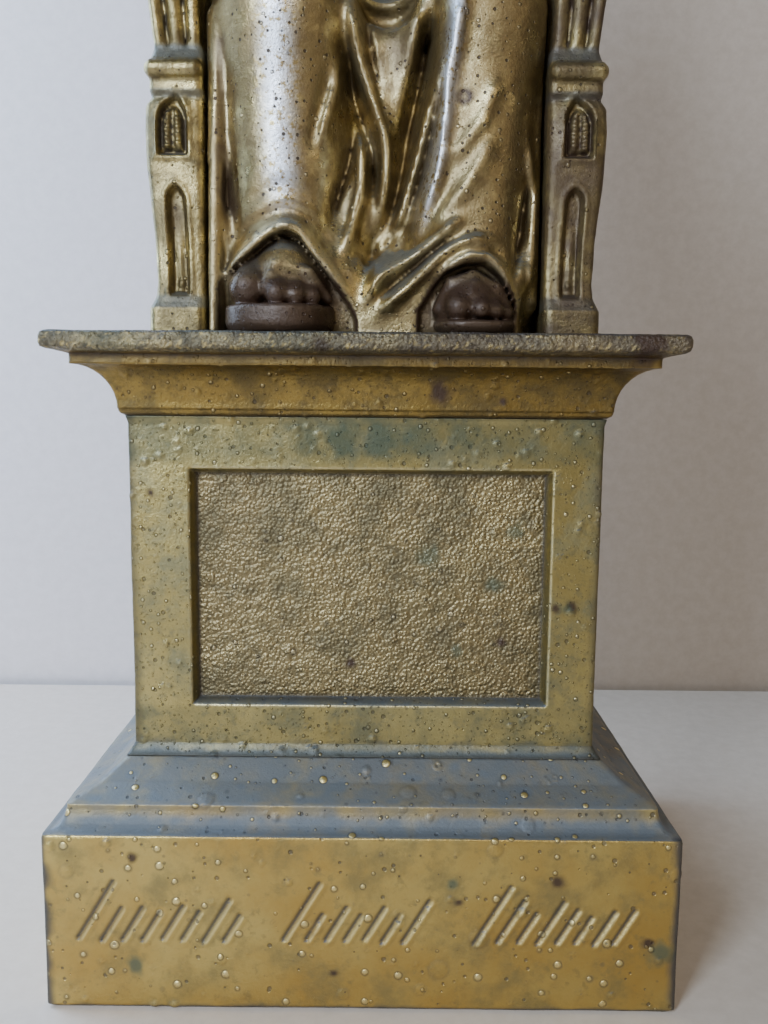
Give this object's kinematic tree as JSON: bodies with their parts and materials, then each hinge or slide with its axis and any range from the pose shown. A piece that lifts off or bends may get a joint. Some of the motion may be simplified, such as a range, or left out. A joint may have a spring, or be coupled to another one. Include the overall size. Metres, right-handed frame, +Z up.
{
  "type": "seated saint statuette",
  "caption": "Gilt brass statuette of a bearded saint with a closed book, seated in a gothic chair on a stepped, panelled plinth.",
  "frame": {"origin": "middle of the plinth's underside, on the surface it stands on", "axes": "+Z up, the saint faces -Y, +X is towards the saint's left hand, at the right of a viewer in front"},
  "size_m": [0.08, 0.066, 0.1951],
  "materials": {
    "gilt_brass": "cast and thinly gilt, aged, stained and blistered",
    "figure_brass": "cast and gilt, rubbed bright on the high spots, tarnished in the hollows"
  },
  "bodies": {
    "root": {"plinth_base": "gilt_brass", "plinth_die": "gilt_brass", "plinth_cornice": "gilt_brass", "chair": "gilt_brass", "saint": "figure_brass"}
  },
  "joints": []
}
